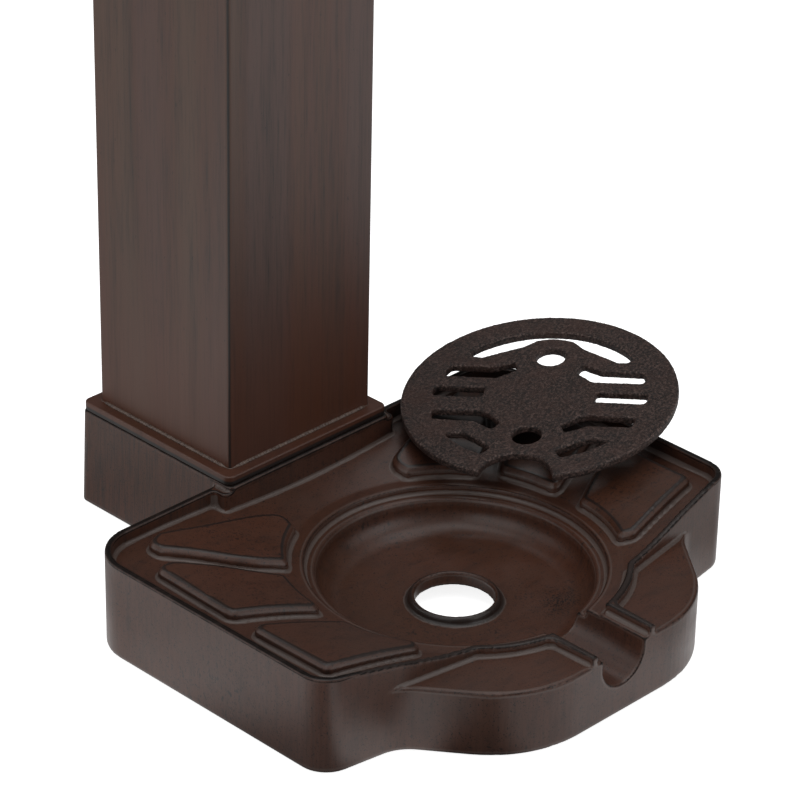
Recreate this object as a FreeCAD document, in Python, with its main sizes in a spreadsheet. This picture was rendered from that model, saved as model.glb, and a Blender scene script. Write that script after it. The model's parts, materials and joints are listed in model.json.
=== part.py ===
import FreeCAD, Part
import Sketcher
import math
import os

os.makedirs("parts", exist_ok=True)

# Garden fountain with tap.  One cast foot (collar and catch basin in one
# piece), a square post welded to a foot plate, a bib tap over the bowl, its
# riser pipe inside the post and a loose round drain grate.
# Frame: +Z up, the fountain's front (bowl and tap) towards -Y, the origin on
# the post's axis at ground level, in the mouth of the supply pipe guide.

V = FreeCAD.Vector
doc = FreeCAD.newDocument("garden_fountain")
sheet = doc.addObject("Spreadsheet::Sheet", "dim")

SIZES = [
    # post, foot plate, weld
    ("post_half", 50.0), ("post_wall", 2.0), ("post_corner", 2.2), ("post_foot", 60.7), ("post_top", 936.0),
    ("plate_half", 56.74), ("plate_corner", 4.0), ("plate_low", 55.5), ("plate_thick", 5.2), ("plate_round", 0.9),
    ("plate_bore", 20.0), ("weld_size", 3.1), ("weld_end", 5.0),
    # collar
    ("collar_low_half", 58.3), ("collar_top_half", 57.0), ("collar_corner", 3.5), ("collar_front", 58.4),
    ("collar_wall", 4.5), ("collar_roof", 5.0), ("fix_pitch", 36.0), ("fix_hole", 4.5),
    ("guide_bore", 16.0), ("guide_outer", 22.0), ("guide_length", 12.0),
    # basin
    ("basin_side", 146.5), ("basin_back", 46.7), ("basin_corner_y", 218.2), ("basin_waist_x", 102.0),
    ("basin_waist_y", 225.2), ("nose_x", 62.2), ("nose_y", 277.0), ("lobe_floor", 35.7), ("wall_top", 53.0),
    ("lip_width", 3.5), ("basin_wall", 4.5), ("skin", 4.2), ("bowl_y", 163.1),
    ("bowl_rim", 76.9), ("bowl_ledge", 70.9), ("ledge_top", 30.3), ("rim_top", 34.8), ("deck_inner", 84.5),
    ("deck_outer", 160.0), ("deck_arc", 267.0), ("deck_flat", 45.6), ("bowl_fillet", 13.0), ("bowl_floor", 13.8),
    ("bowl_low", 12.0), ("boss_top", 16.0), ("boss_outer", 23.5), ("drain_bore", 20.5),
    ("channel_round", 15.0), ("channel_mid", 31.3), ("strip_half", 19.0), ("strip_top", 35.5), ("nose_lip_half", 22.5),
    ("pad_flat", 51.5), ("pad_arc", 267.0), ("pad_arc_mid", 160.0), ("pad_bevel", 2.4),
    ("anchor_x", 118.0), ("anchor_back", 82.0), ("anchor_front", 190.0), ("anchor_tap", 3.4), ("anchor_deep", 18.0),
    ("anchor_boss", 8.0), ("rib_thick", 4.0),
    # drain grate
    ("grate_round", 73.6), ("grate_thick", 4.6), ("grate_chamfer", 0.7), ("notch_round", 19.5), ("notch_away", 73.0),
    ("lift_hole", 7.8), ("lift_hole_far", 35.0), ("lift_hole_near", 37.0),
    # cap
    ("cap_half", 53.0), ("cap_plate", 6.0), ("cap_rise", 20.0), ("cap_skirt_half", 47.7), ("cap_skirt_deep", 26.0),
    ("cap_skirt_wall", 3.0), ("cap_screw_low", 12.0),
    # tap: heights and distances from the post's axis
    ("tap_axis", 640.0), ("tap_hole", 11.0), ("tail_round", 10.48), ("gasket_thick", 1.5), ("gasket_round", 27.0),
    ("rosette_round", 32.0), ("rosette_thick", 7.0), ("tap_hex", 15.6), ("tap_hex_thick", 8.0),
    ("stem_y", 104.0), ("spout_y", 163.1), ("spout_axis", 652.0), ("spout_round", 10.5), ("spout_bend", 25.0),
    ("chamber_round", 15.0), ("chamber_low", 625.0), ("chamber_top", 668.0), ("seat_top", 647.0), ("seat_bore", 6.0),
    ("outlet_low", 594.0), ("outlet_round", 13.2), ("valve_lift", 4.0),
    ("pipe_round", 7.5), ("pipe_bore", 6.5), ("pipe_low", 50.0), ("pipe_top", 625.0), ("inlet_low", 24.0),
    ("handle_low", 697.0), ("handle_arm", 31.0), ("nozzle_round", 8.0), ("nozzle_low", 558.0),
]


class Q:
    """A length that knows both its number and the sheet's text for it."""

    def __init__(self, v, t):
        self.v = float(v)
        self.t = t

    def _op(self, o, f, s):
        o = as_q(o)
        return Q(f(self.v, o.v), "(%s %s %s)" % (self.t, s, o.t))

    def __add__(self, o):
        return self._op(o, lambda a, b: a + b, "+")

    def __sub__(self, o):
        return self._op(o, lambda a, b: a - b, "-")

    def __mul__(self, o):
        return self._op(o, lambda a, b: a * b, "*")

    def __radd__(self, o):
        return as_q(o) + self

    def __rsub__(self, o):
        return as_q(o) - self

    def __rmul__(self, o):
        return as_q(o) * self

    def __neg__(self):
        return as_q(0) - self


def as_q(o):
    return o if isinstance(o, Q) else Q(o, "%.6f" % float(o))


class Names:
    pass


d = Names()
for row, (alias, value) in enumerate(SIZES, start=1):
    sheet.set("A%d" % row, alias)
    sheet.set("B%d" % row, str(value))
    sheet.setAlias("B%d" % row, alias)
doc.recompute()
for alias, value in SIZES:
    setattr(d, alias, Q(float(getattr(sheet, alias)), "dim." + alias))

NODES = []


def bind(obj, prop, q):
    q = as_q(q)
    obj.setExpression(prop, q.t)


def place(obj, x=0, y=0, z=0, rot=None):
    if rot is not None:
        obj.Placement = FreeCAD.Placement(V(0, 0, 0), rot)
    for axis, q in (("x", x), ("y", y), ("z", z)):
        q = as_q(q)
        if q.t != "0.000000":
            bind(obj, "Placement.Base." + axis, q)
    return obj


ROT_Y = FreeCAD.Rotation(V(1, 0, 0), 90)      # a +Z length turned to point along -Y
ROT_X = FreeCAD.Rotation(V(0, 1, 0), 90)      # a +Z length turned to point along +X


def cyl(name, r, length, x=0, y=0, z=0, rot=None, angle=None):
    o = doc.addObject("Part::Cylinder", name)
    bind(o, "Radius", r)
    bind(o, "Height", length)
    if angle is not None:
        o.Angle = angle
    return place(o, x, y, z, rot)


def cone(name, r1, r2, length, x=0, y=0, z=0, rot=None):
    o = doc.addObject("Part::Cone", name)
    bind(o, "Radius1", r1)
    bind(o, "Radius2", r2)
    bind(o, "Height", length)
    return place(o, x, y, z, rot)


def hexagon(name, r, length, x=0, y=0, z=0, rot=None):
    o = doc.addObject("Part::Prism", name)
    o.Polygon = 6
    bind(o, "Circumradius", r)
    bind(o, "Height", length)
    return place(o, x, y, z, rot)


def ball(name, r, x=0, y=0, z=0):
    o = doc.addObject("Part::Sphere", name)
    bind(o, "Radius", r)
    return place(o, x, y, z)


def block(name, lx, ly, lz, x=0, y=0, z=0):
    o = doc.addObject("Part::Box", name)
    bind(o, "Length", lx)
    bind(o, "Width", ly)
    bind(o, "Height", lz)
    return place(o, x, y, z)


def fuse(name, items):
    o = doc.addObject("Part::MultiFuse", name)
    o.Shapes = items
    o.Refine = True
    return o


def cut(name, base, tools):
    tool = tools[0] if len(tools) == 1 else fuse(name + "_tools", tools)
    o = doc.addObject("Part::Cut", name)
    o.Base = base
    o.Tool = tool
    o.Refine = True
    return o


def node(obj, name):
    obj.Label = name
    NODES.append(obj)
    return obj


# ---------------------------------------------------------------- sketches
def origin_plane(body, role):
    for f in body.Origin.OriginFeatures:
        if f.Role == role:
            return f
    raise RuntimeError("no plane " + role)


def body_sketch(body, name, role="XY_Plane"):
    s = body.newObject("Sketcher::SketchObject", name)
    s.AttachmentSupport = [(origin_plane(body, role), "")]
    s.MapMode = "FlatFace"
    return s


def tie(sk, kind, geo, pos, q):
    """Fixes one coordinate of a sketch point at a sheet value."""
    q = as_q(q)
    if abs(q.v) < 1e-9:
        sk.addConstraint(Sketcher.Constraint("PointOnObject", geo, pos, -2 if kind == "DistanceX" else -1))
        return
    i = sk.addConstraint(Sketcher.Constraint(kind, -1, 1, geo, pos, q.v))
    sk.setExpression("Constraints[%d]" % i, q.t)


def polygon(sk, pts):
    """A closed outline whose corners are all tied to the sheet."""
    pts = [(as_q(a), as_q(b)) for a, b in pts]
    first = sk.GeometryCount
    n = len(pts)
    for i in range(n):
        a, b = pts[i], pts[(i + 1) % n]
        sk.addGeometry(Part.LineSegment(V(a[0].v, a[1].v, 0), V(b[0].v, b[1].v, 0)), False)
    for i in range(n):
        sk.addConstraint(Sketcher.Constraint("Coincident", first + i, 2, first + (i + 1) % n, 1))
    for i in range(n):
        tie(sk, "DistanceX", first + i, 1, pts[i][0])
        tie(sk, "DistanceY", first + i, 1, pts[i][1])


def circle(sk, r, x=0, y=0):
    r = as_q(r)
    g = sk.addGeometry(Part.Circle(V(as_q(x).v, as_q(y).v, 0), V(0, 0, 1), r.v), False)
    i = sk.addConstraint(Sketcher.Constraint("Radius", g, r.v))
    sk.setExpression("Constraints[%d]" % i, r.t)
    tie(sk, "DistanceX", g, 3, x)
    tie(sk, "DistanceY", g, 3, y)


def pad(body, sk, length, name, down=False):
    p = body.newObject("PartDesign::Pad", name)
    p.Profile = sk
    bind(p, "Length", length)
    p.Reversed = down
    body.Tip = p
    return p


def pocket(body, sk, length, name, up=False):
    p = body.newObject("PartDesign::Pocket", name)
    p.Profile = sk
    bind(p, "Length", length)
    p.Reversed = up
    body.Tip = p
    return p


def turned(name, pts):
    """A body of revolution: pts are (radius, height) in its own XZ plane, about its own Z."""
    b = doc.addObject("PartDesign::Body", name)
    s = body_sketch(b, name + "_profile", "XZ_Plane")
    polygon(s, pts)
    r = b.newObject("PartDesign::Revolution", name + "_turn")
    r.Profile = s
    r.ReferenceAxis = (s, ["V_Axis"])
    r.Angle = 360.0
    b.Tip = r
    return b


def ring_body(name, outer, inner, thick):
    b = doc.addObject("PartDesign::Body", name)
    s = body_sketch(b, name + "_section")
    circle(s, outer)
    circle(s, inner)
    pad(b, s, thick, name + "_pad")
    return b


# ------------------------------------------------------- plain shape helpers
def rounded(pts):
    """Edges of a closed polygon of (x, y, corner radius)."""
    n = len(pts)
    seg = []
    for i in range(n):
        x, y, r = pts[i]
        p, a, b = V(x, y, 0), V(pts[i - 1][0], pts[i - 1][1], 0), V(pts[(i + 1) % n][0], pts[(i + 1) % n][1], 0)
        u, w = (a - p).normalize(), (b - p).normalize()
        ang = math.acos(max(-1.0, min(1.0, u.dot(w))))
        if r > 0 and ang < math.pi - 1e-4:
            t = r / math.tan(ang / 2)
            bis = (u + w).normalize()
            c = p + bis * (r / math.sin(ang / 2))
            seg.append((p + u * t, c - bis * r, p + w * t))
        else:
            seg.append((p, None, p))
    edges = []
    for i in range(n):
        s, m, e = seg[i]
        nxt = seg[(i + 1) % n][0]
        if m is not None:
            edges.append(Part.Arc(s, m, e))
        if (nxt - e).Length > 1e-5:
            edges.append(Part.LineSegment(e, nxt))
    return edges


def outline(pts, z=0.0):
    w = Part.Wire([g.toShape() for g in rounded(pts)])
    w.translate(V(0, 0, z))
    return w


def prism(pts, z0, z1):
    return Part.Face(outline(pts, z0)).extrude(V(0, 0, z1 - z0))


def mirrored(half):
    """half: the outline's right-hand corners from back to front; returns the whole outline."""
    return half + [(-x, y, r) for x, y, r in reversed(half)]


def spun(pts, cy):
    """Turns a closed (radius, height) outline; ('arc', mid, end) makes an arc."""
    edges = []
    cur = start = pts[0]
    for q in pts[1:]:
        if q[0] == "arc":
            edges.append(Part.Arc(V(cur[0], 0, cur[1]), V(q[1][0], 0, q[1][1]), V(q[2][0], 0, q[2][1])).toShape())
            cur = q[2]
        else:
            edges.append(Part.LineSegment(V(cur[0], 0, cur[1]), V(q[0], 0, q[1])).toShape())
            cur = q
    edges.append(Part.LineSegment(V(cur[0], 0, cur[1]), V(start[0], 0, start[1])).toShape())
    s = Part.Face(Part.Wire(edges)).revolve(V(0, 0, 0), V(0, 0, 1), 360)
    s.translate(V(0, cy, 0))
    return s


def tangent_point(p, q, r, cy):
    a, b = math.atan2(p[1] - cy, p[0]), math.atan2(q[1] - cy, q[0])
    dd = (b - a + math.pi) % (2 * math.pi) - math.pi
    m = a + dd / 2
    return (r / math.cos(dd / 2) * math.cos(m), cy + r / math.cos(dd / 2) * math.sin(m))


def biggest(shape):
    return max(shape.Solids, key=lambda s: s.Volume)


# ------------------------------------------------------------ cast foot
def make_base():
    n = {a: float(getattr(sheet, a)) for a, _ in SIZES}
    cy = -n["bowl_y"]
    side, back = n["basin_side"], -n["basin_back"]
    lip, skin, wall = n["lip_width"], n["skin"], n["basin_wall"]
    top, floor = n["wall_top"], n["lobe_floor"]
    slope = (n["basin_waist_y"] - n["basin_corner_y"]) / (side - n["basin_waist_x"])

    outer = mirrored([
        (side, back, 27.0), (side, -n["basin_corner_y"], 16.0),
        (n["basin_waist_x"], -n["basin_waist_y"], 22.0), (n["nose_x"], -n["nose_y"], 62.0)])
    v1 = (57.0, -n["basin_corner_y"] - slope * (side - 57.0))
    v2 = (23.3, -250.0)
    rl = math.hypot(v1[0], v1[1] - cy)
    tp = tangent_point(v1, v2, rl, cy)
    wall_line = mirrored([
        (side, back, 27.0), (side, -n["basin_corner_y"], 16.0), (v1[0], v1[1], 8.0),
        (tp[0], tp[1], 70.0), (v2[0], v2[1], 5.0), (n["nose_lip_half"], -n["nose_y"] - 0.0, 0.0)])

    # inside line of the raised edge
    k = math.sqrt(1 + slope * slope)
    xi = side - lip
    yi = -n["basin_corner_y"] - slope * (side - xi) + lip * k
    ri = rl - lip
    # where the slanted inner line meets the circle around the bowl
    c0 = yi - slope * (xi - 0.0) - cy                       # y - cy = c0 + slope * x
    aa, bb, cc = 1 + slope * slope, 2 * c0 * slope, c0 * c0 - ri * ri
    xv = (-bb + math.sqrt(bb * bb - 4 * aa * cc)) / (2 * aa)
    yv = cy + c0 + slope * xv
    inner = mirrored([
        (61.0, -n["collar_front"], 3.0), (61.0, back - lip, 3.0), (xi, back - lip, 23.5),
        (xi, yi, 12.5), (xv, yv, 0.0)])

    # outside: low slab with a rounded foot edge and rounded lobe edges, then the wall
    slab = prism(outer, 0.0, floor)
    edges = [e for e in slab.Edges if abs(e.BoundBox.ZMax) < 1e-6]
    slab = slab.makeFillet(1.5, edges)
    edges = [e for e in slab.Edges if abs(e.BoundBox.ZMin - floor) < 1e-6
             and e.CenterOfMass.y < -222.0]
    slab = slab.makeFillet(1.2, edges)
    walls = prism(wall_line, 3.0, top)
    low, high = n["collar_low_half"], n["collar_top_half"]
    front = -n["collar_front"]
    rc = n["collar_corner"]
    foot = outline([(low, front, rc), (low, low, rc), (-low, low, rc), (-low, front, rc)], 0.0)
    head = outline([(high, front, rc), (high, high, rc), (-high, high, rc), (-high, front, rc)], n["plate_low"])
    collar = Part.makeLoft([foot, head], True, True)
    edges = [e for e in collar.Edges if e.BoundBox.ZMax < 1e-6]
    collar = collar.makeFillet(1.2, edges)
    edges = [e for e in collar.Edges if e.BoundBox.ZMin > n["plate_low"] - 1e-6]
    collar = collar.makeFillet(0.7, edges)

    # falling top of the raised edge along the front
    xs = [0, 23, 40, 56, 69, 78, 89, 100, 114, 124, 133, 141, 152]
    zs = [40.7, 40.7, 40.7, 41.0, 42.0, 43.2, 45.3, 47.6, 50.0, 51.7, 53.1, 53.4, 53.6]
    pts = [V(-x, -300, z) for x, z in zip(reversed(xs), reversed(zs))] + [V(x, -300, z) for x, z in list(zip(xs, zs))[1:]]
    curve = Part.BSplineCurve()
    curve.interpolate(pts)
    sky = Part.Face(Part.Wire([curve.toShape(),
                               Part.LineSegment(pts[-1], V(152, -300, 90)).toShape(),
                               Part.LineSegment(V(152, -300, 90), V(-152, -300, 90)).toShape(),
                               Part.LineSegment(V(-152, -300, 90), pts[0]).toShape()])).extrude(V(0, 87.5, 0))
    walls = walls.cut(sky)

    # deck inside the raised edge, then the bowl
    da, db, dr, df = n["deck_inner"], n["deck_outer"], n["deck_arc"], n["deck_flat"]
    dz = lambda r, drop=0.0: df - dr + math.sqrt(dr * dr - (db - r) ** 2) - drop
    mid = (da + db) / 2
    rim, rz = n["bowl_rim"], n["rim_top"]
    deck = spun([(60, 90), (60, rz), (rim, rz), (da, dz(da)), ("arc", (mid, dz(mid)), (db, df)), (260, df), (260, 90)], cy)
    hall = prism(inner, 20.0, 80.0).fuse(Part.makeCylinder(ri, 60.0, V(0, cy, 20.0)))
    deck = deck.common(hall)
    fl, bf, led, lz = n["bowl_floor"], n["bowl_fillet"], n["bowl_ledge"], n["ledge_top"]
    wr = led - 0.9
    s45 = bf * math.sqrt(0.5)
    bowl = spun([(0, -5), (n["drain_bore"], -5), (n["drain_bore"], n["boss_top"] - 0.6),
                 (n["drain_bore"] + 0.6, n["boss_top"]), (n["boss_outer"] - 0.9, n["boss_top"]),
                 (n["boss_outer"], n["boss_top"] - 0.9), (n["boss_outer"] + 0.6, n["bowl_low"] + 0.6),
                 (n["boss_outer"] + 1.6, n["bowl_low"]), (wr - bf, fl),
                 ("arc", (wr - bf + s45, fl + bf - s45), (wr, fl + bf)), (led - 0.2, lz - 0.8), (led + 0.6, lz),
                 (rim - 0.8, lz), (rim - 0.5, lz + 0.4), (rim - 0.5, rz - 0.7), (rim, rz), (rim, 90), (0, 90)], cy)

    # overflow channel through the nose
    cr, cm = n["channel_round"], n["channel_mid"]
    y0, y1 = -n["nose_y"] - 20.0, cy - 55.0
    groove = Part.makeCylinder(cr, y1 - y0, V(0, y0, cm), V(0, 1, 0)).fuse(
        Part.makeBox(2 * cr, y1 - y0, 60.0, V(-cr, y0, cm)))
    strips = Part.makeBox(2 * n["strip_half"], cy - 80.0 - y0, 60.0, V(-n["strip_half"], y0, n["strip_top"]))

    # hollow underside
    ob = mirrored([
        (side - wall, back - wall, 22.5), (side - wall, -n["basin_corner_y"] + wall - 0.6, 11.5),
        (n["basin_waist_x"] - 2.2, -n["basin_waist_y"] + wall, 26.5), (n["nose_x"] - 2.2, -n["nose_y"] + wall, 57.5)])
    wb = mirrored([
        (side - wall, back - wall, 22.5), (side - wall, -n["basin_corner_y"] + wall - 0.6, 11.5),
        (v1[0] - 1.0, v1[1] + wall + 0.3, 0.0), (20.0, -245.0, 0.0)])
    under = prism(ob, -5.0, floor - skin).fuse(prism(wb, 20.0, 80.0))
    cr2 = bf + 4.5
    t45 = cr2 * math.sqrt(0.5)
    cx, cz = wr - bf, fl + bf
    roof = spun([(0, -5), (0, n["bowl_low"] - 3.5), (24, n["bowl_low"] - 3.5), (cx, cz - cr2),
                 ("arc", (cx + t45, cz - t45), (cx + cr2, cz)), (rim + 4.0, cz + 0.6), (rim + 4.6, rz - skin + 0.2),
                 (da, dz(da, skin)), ("arc", (mid, dz(mid, skin)), (db, df - skin)), (260, df - skin), (260, -5)], cy)
    under = under.common(roof)
    keep = [Part.makeCylinder(cr + 4.0, 90.0, V(0, -n["nose_y"] - 5.0, cm), V(0, 1, 0)),
            Part.makeBox(2 * (cr + 4.0), 60.0, 60.0, V(-cr - 4.0, -n["nose_y"] - 5.0, cm)),
            Part.makeBox(2 * low, 30.0, 90.0, V(-low, front, -6.0))]
    rt = n["rib_thick"]
    for sx in (-1, 1):
        for ay in (-n["anchor_back"], -n["anchor_front"]):
            keep.append(Part.makeCylinder(n["anchor_boss"], 90.0, V(sx * n["anchor_x"], ay, 0.0)))
        x0 = 74.0 if sx > 0 else -146.0
        keep.append(Part.makeBox(72.0, rt, 90.0, V(x0, cy - rt / 2, 3.0)))
        rib = Part.makeBox(78.0, rt, 90.0, V(0, -rt / 2, 3.0))
        rib.rotate(V(0, 0, 0), V(0, 0, 1), 45.0)
        if sx < 0:
            rib = rib.mirror(V(0, 0, 0), V(1, 0, 0))
        rib.translate(V(sx * 54.0, cy + 54.0, 0))
        keep.append(rib)
        rib = Part.makeBox(60.0, rt, 90.0, V(0, -rt / 2, 3.0))
        rib.rotate(V(0, 0, 0), V(0, 0, 1), -38.0)
        if sx < 0:
            rib = rib.mirror(V(0, 0, 0), V(1, 0, 0))
        rib.translate(V(sx * 60.0, cy - 46.0, 0))
        keep.append(rib)
    under = under.cut(keep)
    ci = high - n["collar_wall"]
    cell = prism([(ci, front + n["collar_wall"], 3.0), (ci, ci, 3.0), (-ci, ci, 3.0), (-ci, front + n["collar_wall"], 3.0)],
                 -5.0, n["plate_low"] - n["collar_roof"])
    gr = n["guide_outer"]
    stays = [Part.makeCylinder(gr, n["guide_length"] + 5.0, V(0, 0, -5.0))]
    stays.append(Part.makeBox(130.0, rt, 24.0, V(-65.0, -rt / 2, 3.0)))
    stays.append(Part.makeBox(rt, 130.0, 24.0, V(-rt / 2, -65.0, 3.0)))
    cell = cell.cut(stays)

    solid = slab.fuse([walls, collar])
    solid = solid.cut([deck, bowl, groove, strips])
    # pads
    pf, pr, pm = n["pad_flat"], n["pad_arc"], n["pad_arc_mid"]
    pz = lambda r: pf - pr + math.sqrt(pr * pr - (pm - r) ** 2)
    p0 = 60.0
    below = spun([(0, 0), (0, pz(p0)), (p0, pz(p0)), ("arc", ((p0 + pm) / 2, pz((p0 + pm) / 2)), (pm, pf)), (260, pf), (260, 0)], cy)
    ta = tangent_point((-42, -87), (-68.2, -109.2), 87.0, cy)
    tb = tangent_point((-79.5, -121), (-86.0, -151.2), 87.3, cy)
    tc = tangent_point((-86.4, -171.2), (-75.0, -207.6), 87.0, cy)
    pads = [
        [(-115.5, -64, 4.5), (-107, -60.4, 5), (-84.8, -67.6, 60), (-54.4, -73.6, 60), (-40.5, -78.5, 6), (-42, -87, 1.5),
         ta + (72,), (-68.2, -109.2, 1.5), (-81.5, -103.5, 25), (-91.5, -96, 40), (-105.9, -80, 60), (-115, -70.4, 3)],
        [(-128.8, -84.5, 4), (-121, -84.5, 4), (-105, -99, 60), (-93, -111, 60), (-79.5, -121, 1.5), tb + (72,),
         (-86.0, -151.2, 2), (-128.7, -136.7, 4)],
        [(-129.3, -156, 3), (-126, -155, 1), (-86.4, -171.2, 1.5), tc + (72,), (-75.0, -207.6, 1.5), (-78.5, -211, 2),
         (-128.8, -203, 2)]]
    bev = n["pad_bevel"]
    raised = []
    for p in pads:
        ring = outline(p, 0.0).makeOffset2D(bev + 0.1, 0, False, False, True)
        s = biggest(Part.Face(ring).extrude(V(0, 0, 60)).common(below))
        rims = []
        for e in s.Edges:
            pt = e.valueAt((e.FirstParameter + e.LastParameter) / 2)
            nz = []
            for f in s.ancestorsOfType(e, Part.Face):
                u, w = f.Surface.parameter(pt)
                nz.append(abs(f.normalAt(u, w).z))
            if pt.z > 20.0 and max(nz) > 0.3 and min(nz) < 0.05:
                rims.append(e)
        s = s.makeChamfer(bev, rims)
        # the pad's own foot stays inside the deck's skin
        s = s.common(Part.makeBox(400, 400, 60, V(-200, -300, 32.0)))
        raised.append(biggest(s))
        raised.append(biggest(s.mirror(V(0, 0, 0), V(1, 0, 0))))
    solid = solid.fuse(raised)
    solid = solid.cut([under, cell])
    holes = [Part.makeCylinder(n["guide_bore"], 10.0 + n["guide_length"], V(0, 0, -10.0)),
             Part.makeCylinder(gr + 1.0, 18.0, V(0, 0, n["guide_length"])),
             Part.makeCylinder(n["plate_bore"], 30.0, V(0, 0, 40.0))]
    for sx in (-1, 1):
        for sy in (-1, 1):
            holes.append(Part.makeCylinder(n["fix_hole"], 30.0, V(sx * n["fix_pitch"], sy * n["fix_pitch"], 40.0)))
        for ay in (-n["anchor_back"], -n["anchor_front"]):
            holes.append(Part.makeCylinder(n["anchor_tap"], n["anchor_deep"] + 5.0, V(sx * n["anchor_x"], ay, -5.0)))
    solid = solid.cut(holes)
    solid = biggest(solid).removeSplitter()
    return solid


base = doc.addObject("Part::Feature", "base_casting")
base.Shape = make_base()
base.Placement = FreeCAD.Placement(V(0, 0, 0), FreeCAD.Rotation())
node(base, "base_casting")


# ---------------------------------------------------------- foot plate, post
def square_sketch(sk, half, corner):
    """A square of sheet-bound half width; its corners are rounded by a fillet feature."""
    polygon(sk, [(-half, -half), (half, -half), (half, half), (-half, half)])


def upright_edges(shape, reach=None):
    names = []
    for i, e in enumerate(shape.Edges, start=1):
        b = e.BoundBox
        if b.XLength < 1e-4 and b.YLength < 1e-4 and b.ZLength > 1e-3:
            if reach is None or abs(abs(e.Vertexes[0].Point.x) - reach) < 0.05:
                names.append("Edge%d" % i)
    return names


def level_edges(shape, z, big=None):
    names = []
    for i, e in enumerate(shape.Edges, start=1):
        b = e.BoundBox
        if abs(b.ZMin - z) < 1e-4 and abs(b.ZMax - z) < 1e-4:
            if big is None or max(abs(b.XMin), abs(b.XMax), abs(b.YMin), abs(b.YMax)) > big:
                names.append("Edge%d" % i)
    return names


def body_fillet(body, base_feature, names, radius, name):
    f = body.newObject("PartDesign::Fillet", name)
    f.Base = (base_feature, names)
    bind(f, "Radius", radius)
    body.Tip = f
    return f


def body_chamfer(body, base_feature, names, size, name):
    f = body.newObject("PartDesign::Chamfer", name)
    f.Base = (base_feature, names)
    bind(f, "Size", size)
    body.Tip = f
    return f


plate = doc.addObject("PartDesign::Body", "foot_plate")
sk = body_sketch(plate, "foot_plate_outline")
square_sketch(sk, d.plate_half, None)
p = pad(plate, sk, d.plate_thick, "foot_plate_pad")
doc.recompute()
f = body_fillet(plate, p, upright_edges(p.Shape), d.plate_corner, "foot_plate_corners")
doc.recompute()
f = body_fillet(plate, f, level_edges(f.Shape, 5.2, 50) + level_edges(f.Shape, 0.0, 50), d.plate_round, "foot_plate_edges")
doc.recompute()
sk = body_sketch(plate, "foot_plate_holes")
circle(sk, d.plate_bore)
for sx in (-1, 1):
    for sy in (-1, 1):
        circle(sk, 4.05, sx * d.fix_pitch, sy * d.fix_pitch)
pocket(plate, sk, d.plate_thick, "foot_plate_pocket", up=True)
place(plate, z=d.plate_low)
node(plate, "foot_plate")

post = doc.addObject("PartDesign::Body", "post_tube")
sk = body_sketch(post, "post_tube_outline")
square_sketch(sk, d.post_half, None)
p = pad(post, sk, d.post_top - d.post_foot, "post_tube_pad")
doc.recompute()
f = body_fillet(post, p, upright_edges(p.Shape), d.post_corner, "post_tube_corners")
sk = body_sketch(post, "post_tube_inside")
square_sketch(sk, d.post_half - d.post_wall, None)
pocket(post, sk, d.post_top - d.post_foot, "post_tube_hollow", up=True)
# hole for the tap's tail in the front wall, and the cap screws' holes in the sides
sk = body_sketch(post, "post_tube_tap_hole", "XZ_Plane")
circle(sk, d.tap_hole, 0, d.tap_axis - d.post_foot)
pk = pocket(post, sk, 70.0, "post_tube_tap_pocket", up=True)
doc.recompute()
sk = body_sketch(post, "post_tube_cap_holes", "YZ_Plane")
circle(sk, 2.1, 0, d.post_top - d.post_foot - d.cap_screw_low)
pk2 = pocket(post, sk, 140.0, "post_tube_cap_pocket")
pk2.Midplane = True
place(post, z=d.post_foot)
node(post, "post_tube")

# weld bead: a quarter round along each side of the post's foot
wl = 2 * d.post_half - 2 * d.weld_end
beads = []
for i, (px, py, axis_rot) in enumerate([
        (-(d.post_half - d.weld_end), -d.post_half, 0), (d.post_half, -(d.post_half - d.weld_end), 90),
        (d.post_half - d.weld_end, d.post_half, 180), (-d.post_half, d.post_half - d.weld_end, 270)]):
    o = doc.addObject("Part::Cylinder", "bead_%d" % i)
    bind(o, "Radius", d.weld_size)
    bind(o, "Height", wl)
    o.Angle = 90.0
    # own +Z along the post's side, the quarter facing out and up
    m = FreeCAD.Rotation(V(0, 0, 1), axis_rot).multiply(FreeCAD.Rotation(V(0, 1, 0), 90)).multiply(
        FreeCAD.Rotation(V(0, 0, 1), 180))
    place(o, px, py, d.post_foot, m)
    beads.append(o)
weld = doc.addObject("Part::Compound", "foot_weld_bead")
weld.Links = beads
node(weld, "foot_weld_bead")

# fixing screws and washers, pushed up through the collar's roof into the foot plate
screws, washers = [], []
for i, (sx, sy) in enumerate([(-1, -1), (1, -1), (1, 1), (-1, 1)]):
    zr = d.plate_low - d.collar_roof
    hd = hexagon("fix_head_%d" % i, 7.5, 5.3, sx * d.fix_pitch, sy * d.fix_pitch, zr - 6.9)
    sh = cyl("fix_shank_%d" % i, 4.0, 23.3, sx * d.fix_pitch, sy * d.fix_pitch, zr - 6.9)
    screws.append(fuse("fix_screw_%d" % i, [hd, sh]))
    wo = cyl("fix_washer_o_%d" % i, 8.0, 1.6, sx * d.fix_pitch, sy * d.fix_pitch, zr - 1.6)
    wi = cyl("fix_washer_i_%d" % i, 4.2, 3.6, sx * d.fix_pitch, sy * d.fix_pitch, zr - 2.6)
    washers.append(cut("fix_washer_%d" % i, wo, [wi]))
c = doc.addObject("Part::Compound", "post_fixing_screws")
c.Links = screws
node(c, "post_fixing_screws")
c = doc.addObject("Part::Compound", "post_fixing_washers")
c.Links = washers
node(c, "post_fixing_washers")

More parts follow.
